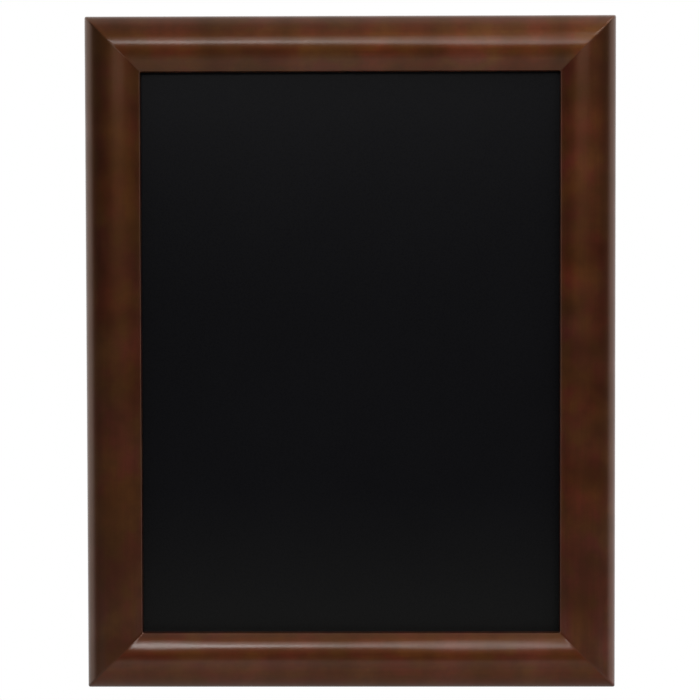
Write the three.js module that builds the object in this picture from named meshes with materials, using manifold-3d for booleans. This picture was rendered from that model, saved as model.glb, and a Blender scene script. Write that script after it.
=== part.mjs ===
// Framed wall chalkboard: four mitred lengths of half-round moulding hold a black writing panel in their
// rebate, and two D-ring hangers carry the board on the wall.
// Millimetres. +Z is up, +X is to the right of someone who faces the board, and the front faces -Y.
// The origin is the middle of the board on the wall plane, y = 0.
import * as THREE from "three";
import { mergeVertices, toCreasedNormals } from "three/addons/utils/BufferGeometryUtils.js";
import Module from "manifold-3d";

// Writing area: what shows of the panel inside the frame
const sightWidth = 299;
const sightHeight = 401;

// Moulding, seen in section
const mouldingWidth = 40; // outer side to sight edge
const mouldingDepth = 20; // back to crest
const crestInset = 22; // outer side to the crest line
const outerSideHeight = 8; // flat outer side, below the curve
const innerCurveEnd = THREE.MathUtils.degToRad(36); // where the curve stops at the sight edge, upright at 0
const backArris = 0.8; // chamfer along the outer back edge
const glueLine = 0.1; // between two mitre faces

// Rebate and panel
const rebateWidth = 7;
const rebateDepth = 8; // back to the shoulder that the panel lies against
const lipThickness = 7; // flat of the sight edge, in front of the shoulder
const panelThickness = 3;
const panelPlay = 0.5; // between the panel's edge and the rebate wall
const contactGap = 0.1; // between pieces that bear on each other

// V-nails, two at each corner
const vNailLeg = 8;
const vNailSheet = 0.5;
const vNailHeight = 10;
const vNailSink = 0.3; // below the back face
const vNailFlare = 0.6; // how far each tip is bent out
const vNailTip = 1.5; // length of the bent tip
const vNailOuterCover = 4; // wood between the outer V-nail's tips and the outer side
const vNailInnerCover = 7; // wood between the inner V-nail's apex and the rebate wall
const drivenGap = 0.1; // round anything that is driven into the wood

// Retaining points: thin darts that hold the panel in the rebate
const pointLength = 14;
const pointWidth = 8;
const pointSheet = 0.5;
const pointDriven = 8; // length inside the wood
const pointTip = 5; // length of the sharpened end
const pointCorner = 1.5; // rounding of the free end
const pointsPerRail = 2;
const pointsPerStile = 3;

// D-ring hangers, one behind each stile
const hangerDrop = 90; // top of the frame to the ring's bar
const wireDiameter = 1.8;
const strapSheet = 0.7;
const strapWidth = 9;
const strapLength = 19; // ring's bar to the rounded end
const strapFoldGap = 0.1; // between the strap's two layers
const strapNeck = 1.2; // radius of the bend where the loop closes, on the sheet's middle line
const wireGap = 0.15; // between the wire and the strap's loop
const ringPlay = 1; // between the strap's side and the ring's leg
const ringHeight = 10; // bar to arch, between wire centres
const ringCorner = 1.5; // bend from bar to leg, at the wire's centre
const ringButt = 0.3; // gap where the wire's ends meet, inside the strap
const screwInset = 11; // ring's bar to the screw
const screwDiameter = 3;
const screwLength = 12; // under the head
const screwPoint = 3;
const screwHeadDiameter = 6;
const screwHeadHeight = 1.7;
const screwHoleGap = 0.2; // round the screw, in the strap
const pilotGap = 0.15; // round the screw, in the wood

// Bumpers behind the lower corners
const bumperDiameter = 12;
const bumperThickness = 4;
const bumperEdge = 0.8; // rounding of the face that meets the wall
const bumperInset = 38; // side of the frame to the bumper's centre, clear of the V-nails

// Fineness of round surfaces
const outerCurveSteps = 16;
const innerCurveSteps = 12;
const bendSteps = 14;
const roundingSteps = 4; // small roundings and screw heads
const holeSides = 16;
const roundSides = 24;
const wireSides = 8;
const ringSteps = 48;
const creaseAngle = THREE.MathUtils.degToRad(35);
const mergeReach = 1e-4; // vertices this close are one

// Sizes that follow from those
const frameWidth = sightWidth + 2 * mouldingWidth;
const frameHeight = sightHeight + 2 * mouldingWidth;
const backLand = mouldingWidth - rebateWidth; // flat back, from the outer side to the rebate wall
const sightEdgeHeight = rebateDepth + lipThickness;
const wireRadius = wireDiameter / 2;
const backY = -(bumperThickness + contactGap); // the wood's back face, in front of the wall
const pastFace = 1; // how far a cutter runs out of the face that it opens

const wasm = await Module();
wasm.setup();

const stainedWood = new THREE.MeshStandardMaterial({ color: 0x4a2613, roughness: 0.3, metalness: 0 });
const chalkCoat = new THREE.MeshStandardMaterial({ color: 0x141416, roughness: 0.85, metalness: 0 });
const zincSteel = new THREE.MeshStandardMaterial({ color: 0xb9bcc0, roughness: 0.35, metalness: 1 });
const blackRubber = new THREE.MeshStandardMaterial({ color: 0x1c1c1c, roughness: 0.9, metalness: 0 });

// A closed geometry as a solid that can be cut and joined.
function solidOf(geometry) {
  const bare = new THREE.BufferGeometry().setAttribute("position", geometry.getAttribute("position"));
  if (geometry.index) bare.setIndex(geometry.index);
  const merged = mergeVertices(bare, mergeReach);
  const triVerts = new Uint32Array(merged.index.array);
  const vertProperties = merged.attributes.position.array;
  const made = new wasm.Manifold(new wasm.Mesh({ numProp: 3, vertProperties, triVerts }));
  if (made.volume() >= 0) return made;
  return new wasm.Manifold(new wasm.Mesh({ numProp: 3, vertProperties, triVerts: triVerts.reverse() }));
}

// A solid as a geometry, with its round surfaces shaded smooth.
function geometryOf(solid) {
  const { vertProperties, triVerts } = solid.getMesh();
  const geometry = new THREE.BufferGeometry()
    .setAttribute("position", new THREE.BufferAttribute(vertProperties, 3))
    .setIndex(new THREE.BufferAttribute(triVerts, 1));
  return toCreasedNormals(geometry, creaseAngle);
}

function meshOf(name, solid, material) {
  const mesh = new THREE.Mesh(geometryOf(solid), material);
  mesh.name = name;
  return mesh;
}

// Points on an elliptical arc, ends included.
function arcPoints(x, y, radiusX, radiusY, from, to, steps) {
  return Array.from({ length: steps + 1 }, (_, i) => {
    const angle = from + ((to - from) * i) / steps;
    return new THREE.Vector2(x + radiusX * Math.cos(angle), y + radiusY * Math.sin(angle));
  });
}

// The outline of a strip of sheet metal that follows a line of points, each end lengthened by extra.
function stripShape(points, thickness, extra = 0) {
  const line = points.map((p) => p.clone());
  const last = line.length - 1;
  line[0].addScaledVector(line[0].clone().sub(line[1]).normalize(), extra);
  line[last].addScaledVector(line[last].clone().sub(line[last - 1]).normalize(), extra);
  const side = (half) =>
    line.map((p, i) => {
      const before = p.clone().sub(line[Math.max(i - 1, 0)]).normalize();
      const after = line[Math.min(i + 1, last)].clone().sub(p).normalize();
      const along = before.clone().add(after).normalize();
      const lean = i === 0 || i === last ? 1 : along.dot(after);
      return p.clone().add(new THREE.Vector2(-along.y, along.x).multiplyScalar(half / lean));
    });
  return new THREE.Shape([...side(thickness / 2), ...side(-thickness / 2).reverse()]);
}

// A shape drawn in X and Z, extruded from y = start towards the front.
function plateSolid(shape, start, depth) {
  const geometry = new THREE.ExtrudeGeometry(shape, { depth, bevelEnabled: false });
  return solidOf(geometry.rotateX(Math.PI / 2).translate(0, start, 0));
}

// A turned piece: its profile is radius against Y, from axis to axis.
function turnedSolid(profile, sides) {
  return solidOf(new THREE.LatheGeometry(profile, sides));
}

// The moulding's section: x is the distance in from the outer side, y the height in front of the back.
function mouldingSection() {
  const quarter = Math.PI / 2;
  const outerRise = mouldingDepth - outerSideHeight;
  const outerCurve = [crestInset, outerRise, quarter, Math.PI, outerCurveSteps];
  const innerRun = (mouldingWidth - crestInset) / Math.cos(innerCurveEnd);
  const innerRise = (mouldingDepth - sightEdgeHeight) / (1 - Math.sin(innerCurveEnd));
  const innerCurve = [innerRun, innerRise, innerCurveEnd, quarter, innerCurveSteps];
  return new THREE.Shape([
    new THREE.Vector2(backArris, 0),
    new THREE.Vector2(backLand, 0),
    new THREE.Vector2(backLand, rebateDepth),
    new THREE.Vector2(mouldingWidth, rebateDepth),
    ...arcPoints(crestInset, mouldingDepth - innerRise, ...innerCurve),
    ...arcPoints(crestInset, outerSideHeight, ...outerCurve).slice(1),
    new THREE.Vector2(0, backArris),
  ]);
}

// One length of moulding along X, its back at y = backY and its outer side at z = reach, cut to a mitre at
// both ends: each end's points move in along the length by their distance from the outer side.
function mitredLength(length, reach) {
  const geometry = new THREE.ExtrudeGeometry(mouldingSection(), { depth: length, bevelEnabled: false });
  const points = geometry.getAttribute("position");
  const cutBack = (glueLine / 2) * Math.SQRT2;
  for (let i = 0; i < points.count; i++) {
    const half = length / 2 - points.getX(i) - cutBack;
    points.setZ(i, points.getZ(i) < length / 2 ? -half : half);
  }
  const inward = new THREE.Vector3(0, 0, -1);
  const forward = new THREE.Vector3(0, -1, 0);
  const along = new THREE.Vector3(-1, 0, 0);
  geometry.applyMatrix4(new THREE.Matrix4().makeBasis(inward, forward, along));
  return solidOf(geometry.translate(0, backY, reach));
}

// A V-nail's middle line, with its apex at x, z and its legs towards the outer sides. flip is -1 at the left
// end of a length.
function vNailLine(x, z, flip) {
  const straight = vNailLeg - vNailTip;
  return [
    new THREE.Vector2(x + flip * vNailLeg, z - vNailFlare),
    new THREE.Vector2(x + flip * straight, z),
    new THREE.Vector2(x, z),
    new THREE.Vector2(x, z + straight),
    new THREE.Vector2(x - flip * vNailFlare, z + vNailLeg),
  ];
}

// How far in from the outer sides each V-nail of a corner has its apex.
const vNailInsets = {
  outer: vNailOuterCover + vNailLeg,
  inner: backLand - vNailInnerCover,
};

function vNailSolid(length, reach, inset) {
  const line = vNailLine(length / 2 - inset, reach - inset, 1);
  return plateSolid(stripShape(line, vNailSheet), backY - vNailSink, vNailHeight);
}

function vNailPocket(length, reach, inset, flip) {
  const line = vNailLine(flip * (length / 2 - inset), reach - inset, flip);
  const outline = stripShape(line, vNailSheet + 2 * drivenGap, drivenGap);
  return plateSolid(outline, backY + pastFace, pastFace + vNailSink + vNailHeight + drivenGap);
}

// A retaining point's outline, its tip inside the wood and its free end over the panel, grown by gap all
// round.
function pointShape(x, wallZ, gap) {
  const half = pointWidth / 2 + gap;
  const tipZ = wallZ + pointDriven + gap;
  const shoulderZ = wallZ + pointDriven - pointTip;
  const endZ = wallZ + pointDriven - pointLength - gap;
  const corner = pointCorner;
  return new THREE.Shape([
    new THREE.Vector2(x, tipZ),
    new THREE.Vector2(x - half, shoulderZ),
    ...arcPoints(x - half + corner, endZ + corner, corner, corner, Math.PI, 1.5 * Math.PI, roundingSteps),
    ...arcPoints(x + half - corner, endZ + corner, corner, corner, 1.5 * Math.PI, 2 * Math.PI, roundingSteps),
    new THREE.Vector2(x + half, shoulderZ),
  ]);
}

// The points lie just behind the panel.
const panelFrontY = backY - rebateDepth + contactGap;
const panelBackY = panelFrontY + panelThickness;
const pointBackY = panelBackY + contactGap + pointSheet;

function pointSolid(x, wallZ) {
  return plateSolid(pointShape(x, wallZ, 0), pointBackY, pointSheet);
}

function pointPocket(x, wallZ) {
  return plateSolid(pointShape(x, wallZ, drivenGap), pointBackY + drivenGap, pointSheet + 2 * drivenGap);
}

// Places along a length for its points, evenly over the sight edge.
function pointPlaces(sightLength, count) {
  return Array.from({ length: count }, (_, i) => ((i + 0.5) / count - 0.5) * sightLength);
}

// The strap's side view: x runs up the wall and y out from the wood, with the ring's bar in the loop.
const loopRadius = wireRadius + wireGap + strapSheet / 2; // on the sheet's middle line
const barY = contactGap + strapSheet / 2 + loopRadius; // the bar's height in front of the wood's back face
const lowerLayerY = contactGap + strapSheet / 2;
const upperLayerY = lowerLayerY + strapSheet + strapFoldGap;

function strapLine() {
  const neckY = upperLayerY + strapNeck;
  const reach = loopRadius + strapNeck;
  const neckX = -Math.sqrt(reach ** 2 - (neckY - barY) ** 2);
  const meet = Math.atan2(neckY - barY, neckX);
  const closing = meet - Math.PI;
  return [
    new THREE.Vector2(-strapLength, lowerLayerY),
    ...arcPoints(0, barY, loopRadius, loopRadius, -Math.PI / 2, meet, bendSteps),
    ...arcPoints(neckX, neckY, strapNeck, strapNeck, closing, -Math.PI / 2, bendSteps / 2).slice(1),
    new THREE.Vector2(-strapLength, upperLayerY),
  ];
}

function strapSolid() {
  const geometry = new THREE.ExtrudeGeometry(stripShape(strapLine(), strapSheet), {
    depth: strapWidth,
    bevelEnabled: false,
  });
  const up = new THREE.Vector3(0, 0, 1);
  const out = new THREE.Vector3(0, 1, 0);
  const across = new THREE.Vector3(-1, 0, 0);
  geometry.translate(0, 0, -strapWidth / 2).applyMatrix4(new THREE.Matrix4().makeBasis(up, out, across));
  const endRadius = strapWidth / 2;
  const top = loopRadius + strapSheet;
  const outline = new THREE.Shape([
    ...arcPoints(0, endRadius - strapLength, endRadius, endRadius, Math.PI, 2 * Math.PI, bendSteps),
    new THREE.Vector2(endRadius, top),
    new THREE.Vector2(-endRadius, top),
  ]);
  const stackHeight = upperLayerY + strapSheet + 2 * loopRadius;
  const trimmed = solidOf(geometry).intersect(plateSolid(outline, stackHeight, stackHeight + pastFace));
  const holeRadius = screwDiameter / 2 + screwHoleGap;
  const hole = new THREE.CylinderGeometry(holeRadius, holeRadius, 2 * stackHeight, holeSides);
  return trimmed.subtract(solidOf(hole.translate(0, 0, -screwInset)));
}

// An arc in the X-Z plane, for the ring's wire.
class WireArc extends THREE.Curve {
  constructor(x, z, radius, from, to) {
    super();
    Object.assign(this, { x, z, radius, from, to });
  }
  getPoint(t, target = new THREE.Vector3()) {
    const angle = this.from + (this.to - this.from) * t;
    return target.set(this.x + this.radius * Math.cos(angle), 0, this.z + this.radius * Math.sin(angle));
  }
}

// The ring: a D of wire round the bar, its ends butted in the middle of the bar.
function ringSolid() {
  const halfWidth = strapWidth / 2 + ringPlay + wireRadius;
  const archZ = ringHeight - halfWidth; // the arch is a half circle from leg to leg
  const inner = halfWidth - ringCorner;
  const at = (x, z) => new THREE.Vector3(x, 0, z);
  const wire = new THREE.CurvePath();
  wire.add(new THREE.LineCurve3(at(ringButt / 2, 0), at(inner, 0)));
  wire.add(new WireArc(inner, ringCorner, ringCorner, -Math.PI / 2, 0));
  wire.add(new THREE.LineCurve3(at(halfWidth, ringCorner), at(halfWidth, archZ)));
  wire.add(new WireArc(0, archZ, halfWidth, 0, Math.PI));
  wire.add(new THREE.LineCurve3(at(-halfWidth, archZ), at(-halfWidth, ringCorner)));
  wire.add(new WireArc(-inner, ringCorner, ringCorner, Math.PI, 1.5 * Math.PI));
  wire.add(new THREE.LineCurve3(at(-inner, 0), at(-ringButt / 2, 0)));
  const round = arcPoints(0, 0, wireRadius, wireRadius, 0, 2 * Math.PI, wireSides);
  const section = new THREE.Shape(round.slice(1));
  return solidOf(new THREE.ExtrudeGeometry(section, { steps: ringSteps, extrudePath: wire }));
}

// A pan-head screw along Y: the head's underside is at y = 0 and the point is in the wood.
function screwSolid() {
  const radius = screwDiameter / 2;
  const headRadius = screwHeadDiameter / 2;
  return turnedSolid(
    [
      new THREE.Vector2(0, -screwLength),
      new THREE.Vector2(radius, screwPoint - screwLength),
      new THREE.Vector2(radius, 0),
      ...arcPoints(0, 0, headRadius, screwHeadHeight, 0, Math.PI / 2, roundingSteps),
    ],
    holeSides,
  );
}

// A bumper along Y, from the wood at y = 0 to the wall.
function bumperSolid() {
  const radius = bumperDiameter / 2;
  const flat = radius - bumperEdge;
  return turnedSolid(
    [
      new THREE.Vector2(0, 0),
      new THREE.Vector2(radius, 0),
      ...arcPoints(flat, bumperThickness - bumperEdge, bumperEdge, bumperEdge, 0, Math.PI / 2, roundingSteps),
      new THREE.Vector2(0, bumperThickness),
    ],
    roundSides,
  );
}

// The screw's pilot hole in a stile, at x along its length.
const screwSeatY = upperLayerY + strapSheet / 2 + contactGap; // under the head, out from the wood

function pilotHole(x, reach) {
  const radius = screwDiameter / 2 + pilotGap;
  const depth = screwLength - screwSeatY + pilotGap;
  const hole = new THREE.CylinderGeometry(radius, radius, depth + pastFace, holeSides);
  return solidOf(hole.translate(x, backY + pastFace - (depth + pastFace) / 2, reach - backLand / 2));
}

// One side of the frame in its own group: the length of moulding, its points, and the V-nails of its right
// end.
function frameSide({ name, turn, length, reach, points, corner, pilotX }) {
  const side = new THREE.Group();
  side.rotation.y = (turn * Math.PI) / 2;
  const wallZ = reach - backLand;
  const places = pointPlaces(length - 2 * mouldingWidth, points);
  const cuts = places.map((x) => pointPocket(x, wallZ));
  for (const inset of Object.values(vNailInsets)) {
    cuts.push(vNailPocket(length, reach, inset, 1), vNailPocket(length, reach, inset, -1));
  }
  if (pilotX !== undefined) cuts.push(pilotHole(pilotX, reach));
  const wood = cuts.reduce((left, cut) => left.subtract(cut), mitredLength(length, reach));
  side.add(meshOf(name, wood, stainedWood));
  places.forEach((x, i) => {
    side.add(meshOf(`retaining_point_${name}_${i + 1}`, pointSolid(x, wallZ), zincSteel));
  });
  for (const [place, inset] of Object.entries(vNailInsets)) {
    side.add(meshOf(`v_nail_${corner}_${place}`, vNailSolid(length, reach, inset), zincSteel));
  }
  return side;
}

function writingPanel() {
  const width = sightWidth + 2 * (rebateWidth - panelPlay);
  const height = sightHeight + 2 * (rebateWidth - panelPlay);
  const panel = new THREE.Mesh(new THREE.BoxGeometry(width, panelThickness, height), chalkCoat);
  panel.name = "writing_panel";
  panel.position.y = (panelFrontY + panelBackY) / 2;
  return panel;
}

function hanger(side, x, z) {
  const group = new THREE.Group();
  group.position.set(x, backY, z);
  const ring = meshOf(`${side}_hanger_ring`, ringSolid(), zincSteel);
  ring.position.y = barY;
  const screw = meshOf(`${side}_hanger_screw`, screwSolid(), zincSteel);
  screw.position.set(0, screwSeatY, -screwInset);
  group.add(meshOf(`${side}_hanger_strap`, strapSolid(), zincSteel), ring, screw);
  return group;
}

function bumper(side, x) {
  const mesh = meshOf(`${side}_bumper`, bumperSolid(), blackRubber);
  mesh.position.set(x, backY + contactGap, backLand / 2 - frameHeight / 2);
  return mesh;
}

const barZ = frameHeight / 2 - hangerDrop;
const screwZ = barZ - screwInset;
const stileCentreX = (frameWidth - backLand) / 2;
const rail = { length: frameWidth, reach: frameHeight / 2, points: pointsPerRail };
const stile = { length: frameHeight, reach: frameWidth / 2, points: pointsPerStile };

const board = new THREE.Group();
board.name = "wall_chalkboard";
board.add(
  frameSide({ name: "top_rail", turn: 0, corner: "top_right", ...rail }),
  frameSide({ name: "right_stile", turn: 1, corner: "bottom_right", pilotX: -screwZ, ...stile }),
  frameSide({ name: "bottom_rail", turn: 2, corner: "bottom_left", ...rail }),
  frameSide({ name: "left_stile", turn: 3, corner: "top_left", pilotX: screwZ, ...stile }),
  writingPanel(),
);
for (const [side, sign] of Object.entries({ left: -1, right: 1 })) {
  board.add(hanger(side, sign * stileCentreX, barZ), bumper(side, sign * (frameWidth / 2 - bumperInset)));
}

export default board;
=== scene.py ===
import math

import bmesh
import bpy
from mathutils import Matrix, Vector, noise


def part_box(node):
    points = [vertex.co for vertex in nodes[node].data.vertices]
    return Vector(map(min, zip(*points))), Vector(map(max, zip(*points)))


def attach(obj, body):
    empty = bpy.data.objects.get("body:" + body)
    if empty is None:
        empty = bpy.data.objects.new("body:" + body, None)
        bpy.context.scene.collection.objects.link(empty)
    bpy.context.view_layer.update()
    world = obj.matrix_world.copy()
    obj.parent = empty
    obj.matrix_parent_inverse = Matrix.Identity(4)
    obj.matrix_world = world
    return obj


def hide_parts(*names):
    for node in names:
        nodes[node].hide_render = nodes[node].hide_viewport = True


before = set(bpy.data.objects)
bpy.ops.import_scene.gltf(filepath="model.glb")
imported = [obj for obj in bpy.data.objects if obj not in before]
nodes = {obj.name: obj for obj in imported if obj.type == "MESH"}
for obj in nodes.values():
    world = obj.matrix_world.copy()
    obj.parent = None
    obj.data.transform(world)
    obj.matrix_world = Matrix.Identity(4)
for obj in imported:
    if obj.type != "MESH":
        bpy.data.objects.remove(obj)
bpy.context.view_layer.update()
print("frame loaded:", len(nodes), "nodes")

mm = 0.001
quarter = math.pi / 2
scene = bpy.context.scene
scene.view_settings.view_transform = "Standard"

# camera, fitted to the outer corners and the sight corners of the photographed board
cameraSetup = {
    "place": (13.9 * mm, -1500 * mm, 51.3 * mm),
    "pitch": math.radians(-1.892),
    "roll": math.radians(0.119),
    "yaw": math.radians(0.553),
    "focalPixels": 2077.2,
    "imagePixels": 700,
    "sensor": 36.0,
}


def makeCamera(setup):
    data = bpy.data.cameras.new("camera")
    data.sensor_width = setup["sensor"]
    data.sensor_fit = "HORIZONTAL"
    data.lens = setup["focalPixels"] / setup["imagePixels"] * setup["sensor"]
    camera = bpy.data.objects.new("camera", data)
    scene.collection.objects.link(camera)
    turn = (
        Matrix.Rotation(setup["yaw"], 4, "Z")
        @ Matrix.Rotation(setup["pitch"], 4, "X")
        @ Matrix.Rotation(setup["roll"], 4, "Y")
        @ Matrix.Rotation(quarter, 4, "X")  # a Blender camera looks down its own -Z
    )
    camera.matrix_world = Matrix.Translation(setup["place"]) @ turn
    scene.camera = camera


makeCamera(cameraSetup)
print("camera made")

# soft lights, each on a sphere round the board: azimuth from straight in front to the right and elevation up,
# in degrees, size in degrees across and up; radiance 1 is the white of the surround
studio = {
    "distance": 4.5,
    "lights": {
        "main_left": {"azimuth": -8, "elevation": 16.1, "size": (10, 5), "radiance": 8.7, "tilt": -10},
        "main_right": {"azimuth": 4, "elevation": 15.2, "size": (14, 6), "radiance": 3.8, "tilt": -5},
        "upper": {"azimuth": 0, "elevation": 22, "size": (18, 7), "radiance": 1.7, "tilt": -8},
        "right_high": {"azimuth": 25, "elevation": 28.5, "size": (24, 9), "radiance": 5.6, "tilt": 0},
        "top_right": {"azimuth": 52, "elevation": 56, "size": (24, 20), "radiance": 3.0, "tilt": 0},
    },
    "floorHeight": -0.75,
    "floorSize": (4.4, 4.2),
    "floorMiddle": (0, -0.2),
    "floorColour": (0.46, 0.46, 0.45, 1),
    "floorRoughness": 0.8,
}
# grey levels of the room that lights the board, from straight down to straight up, at half strength;
# side leads from the front's levels to those behind the board
surround = {
    "front": [(0, 0.2), (0.33, 0.16), (0.42, 0.03), (0.5, 0.005), (0.62, 0.005), (0.8, 0.1), (1, 0.2)],
    "behind": [(0, 0.15), (0.25, 0.2), (0.4, 0.5), (0.6, 0.62), (0.85, 0.6), (1, 0.3)],
    "side": [(0, 0), (0.26, 0), (0.4, 1)],
    "strength": 2.0,
}


def makeLight(name, light, distance):
    azimuth, elevation = math.radians(light["azimuth"]), math.radians(light["elevation"])
    level = math.cos(elevation)
    place = distance * Vector((level * math.sin(azimuth), -level * math.cos(azimuth), math.sin(elevation)))
    width, height = [2 * distance * math.tan(math.radians(size) / 2) for size in light["size"]]
    data = bpy.data.lights.new(name, "AREA")
    data.shape = "RECTANGLE"
    data.size, data.size_y = width, height
    data.energy = light["radiance"] * math.pi * width * height
    lamp = bpy.data.objects.new(name, data)
    scene.collection.objects.link(lamp)
    aim = (-place).to_track_quat("-Z", "Y").to_matrix().to_4x4()
    lamp.matrix_world = Matrix.Translation(place) @ aim @ Matrix.Rotation(math.radians(light["tilt"]), 4, "Z")


def feed(tree, node, values):
    # each value is a socket to link or a plain setting
    for key, value in values.items():
        if isinstance(value, bpy.types.NodeSocket):
            tree.links.new(value, node.inputs[key])
        else:
            node.inputs[key].default_value = value


def addNode(tree, kind, values=None, **settings):
    node = tree.nodes.new(kind)
    for key, value in settings.items():
        setattr(node, key, value)
    feed(tree, node, values or {})
    return node


def remap(tree, source, fromMin, fromMax, toMin=0.0, toMax=1.0):
    values = {"Value": source, "From Min": fromMin, "From Max": fromMax, "To Min": toMin, "To Max": toMax}
    return addNode(tree, "ShaderNodeMapRange", values).outputs["Result"]


def mixColour(tree, factor, first, second, blend="MIX"):
    values = {"Factor": factor, "A": first, "B": second}
    return addNode(tree, "ShaderNodeMix", values, data_type="RGBA", blend_type=blend).outputs["Result"]


def splitPlace(tree, place):
    return addNode(tree, "ShaderNodeSeparateXYZ", {0: place}).outputs


def addRamp(tree, stops, source):
    # grey levels along a ramp, as (place, level) pairs
    ramp = addNode(tree, "ShaderNodeValToRGB", {"Fac": source})
    band = ramp.color_ramp
    while len(band.elements) < len(stops):
        band.elements.new(0.5)
    for element, (place, level) in zip(band.elements, stops):
        element.position = place
        element.color = (level, level, level, 1)
    return ramp.outputs["Color"]


def makeSurround(room):
    # the camera sees plain white; the board is lit by a white room that is dark behind the camera
    world = bpy.data.worlds.new("surround")
    scene.world = world
    world.use_nodes = True
    tree = world.node_tree
    tree.nodes.clear()
    place = splitPlace(tree, addNode(tree, "ShaderNodeTexCoord").outputs["Generated"])
    height, depth = [remap(tree, place[axis], -1, 1) for axis in ("Z", "Y")]
    front, behind = [addRamp(tree, room[part], height) for part in ("front", "behind")]
    colour = mixColour(tree, addRamp(tree, room["side"], depth), front, behind)
    lit = addNode(tree, "ShaderNodeBackground", {"Color": colour, "Strength": room["strength"]})
    seen = addNode(tree, "ShaderNodeBackground", {"Color": (1, 1, 1, 1)})
    fromCamera = addNode(tree, "ShaderNodeLightPath").outputs["Is Camera Ray"]
    choose = addNode(tree, "ShaderNodeMixShader", {0: fromCamera, 1: lit.outputs[0], 2: seen.outputs[0]})
    addNode(tree, "ShaderNodeOutputWorld", {"Surface": choose.outputs[0]})


def makeStudio(setup):
    for name, light in setup["lights"].items():
        makeLight(name, light, setup["distance"])
    mesh = bpy.data.meshes.new("floor")
    halfX, halfY = [size / 2 for size in setup["floorSize"]]
    midX, midY = setup["floorMiddle"]
    signs = ((-1, -1), (1, -1), (1, 1), (-1, 1))
    corners = [(midX + x * halfX, midY + y * halfY, setup["floorHeight"]) for x, y in signs]
    mesh.from_pydata(corners, [], [(0, 1, 2, 3)])
    material = bpy.data.materials.new("floor")
    material.use_nodes = True
    shader = material.node_tree.nodes["Principled BSDF"]
    shader.inputs["Base Color"].default_value = setup["floorColour"]
    shader.inputs["Roughness"].default_value = setup["floorRoughness"]
    mesh.materials.append(material)
    floor = bpy.data.objects.new("floor", mesh)
    scene.collection.objects.link(floor)


makeSurround(surround)
makeStudio(studio)
print("studio made")

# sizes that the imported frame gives
topLow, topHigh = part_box("top_rail")
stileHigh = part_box("right_stile")[1]
board = {
    "width": 2 * stileHigh.x,
    "height": 2 * topHigh.z,
    "railWidth": topHigh.z - topLow.z,
    "depth": topHigh.y - topLow.y,
    "backY": topHigh.y,
}


# meshes
def arc(cx, cy, rx, ry, start, end, steps):
    angles = [start + (end - start) * i / steps for i in range(steps + 1)]
    return [(cx + rx * math.cos(a), cy + ry * math.sin(a)) for a in angles]


def meshOf(shape, name):
    bmesh.ops.recalc_face_normals(shape, faces=shape.faces)
    mesh = bpy.data.meshes.new(name)
    shape.to_mesh(mesh)
    shape.free()
    return mesh


def lathe(profile, sides):
    # a turned shape round Y: profile is (radius, y) from axis to axis
    shape = bmesh.new()
    rings = []
    for radius, y in profile:
        if radius < 1e-7:
            rings.append([shape.verts.new((0, y, 0))])
            continue
        angles = [2 * math.pi * i / sides for i in range(sides)]
        rings.append([shape.verts.new((radius * math.cos(a), y, radius * math.sin(a))) for a in angles])
    for a, b in zip(rings, rings[1:]):
        for i in range(sides):
            j = (i + 1) % sides
            if len(a) == 1:
                shape.faces.new((a[0], b[i], b[j]))
            elif len(b) == 1:
                shape.faces.new((a[i], a[j], b[0]))
            else:
                shape.faces.new((a[i], a[j], b[j], b[i]))
    return shape


def prism(outline, axes, start, end, name):
    # an outline drawn on two axes and drawn out along the third
    shape = bmesh.new()
    layers = []
    for level in (start, end):
        layer = []
        for a, b in outline:
            place = [0, 0, 0]
            place[axes[0]], place[axes[1]], place[axes[2]] = a, b, level
            layer.append(shape.verts.new(place))
        layers.append(layer)
    for k in range(len(outline)):
        j = (k + 1) % len(outline)
        shape.faces.new((layers[0][k], layers[0][j], layers[1][j], layers[1][k]))
    shape.faces.new(layers[0])
    shape.faces.new(list(reversed(layers[1])))
    return meshOf(shape, name)


def smoothByAngle(mesh, degrees):
    # smooth shading with sharp edges past the angle and where two finishes meet
    limit = math.radians(degrees)
    shape = bmesh.new()
    shape.from_mesh(mesh)
    for edge in shape.edges:
        oneFinish = len({face.material_index for face in edge.link_faces}) == 1
        edge.smooth = oneFinish and edge.is_manifold and edge.calc_face_angle(0) <= limit
    for face in shape.faces:
        face.smooth = True
    shape.to_mesh(mesh)
    shape.free()


def looseObject(name, mesh, place=None):
    piece = bpy.data.objects.new(name, mesh)
    scene.collection.objects.link(piece)
    if place is not None:
        piece.matrix_world = place
    bpy.context.view_layer.update()
    return piece


def keepResult(piece):
    # put the modifiers' result in the piece's own mesh
    graph = bpy.context.evaluated_depsgraph_get()
    result = bpy.data.meshes.new_from_object(piece.evaluated_get(graph))
    piece.modifiers.clear()
    old, piece.data = piece.data, result
    bpy.data.meshes.remove(old)


def cut(piece, cutter, operation="DIFFERENCE"):
    modifier = piece.modifiers.new("cut", "BOOLEAN")
    modifier.operation = operation
    modifier.solver = "EXACT"
    modifier.object = cutter
    keepResult(piece)
    cutterMesh = cutter.data
    bpy.data.objects.remove(cutter)
    bpy.data.meshes.remove(cutterMesh)


def softenEdges(piece, width, segments=2, degrees=40):
    modifier = piece.modifiers.new("edges", "BEVEL")
    modifier.width = width
    modifier.segments = segments
    modifier.limit_method = "ANGLE"
    modifier.angle_limit = math.radians(degrees)


def finishPiece(piece, materials, body, replaced, place=None, degrees=35):
    if place is not None:
        piece.data.transform(Matrix.Translation(place))
    # set one by one: clearing the slots would put every face on the first finish
    slots = piece.data.materials
    for index, material in enumerate(materials):
        if index < len(slots):
            slots[index] = material
        else:
            slots.append(material)
    smoothByAngle(piece.data, degrees)
    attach(piece, body)
    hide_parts(replaced)


# shader helpers
def newMaterial(name):
    material = bpy.data.materials.new(name)
    material.use_nodes = True
    tree = material.node_tree
    return material, tree, tree.nodes["Principled BSDF"]


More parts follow.
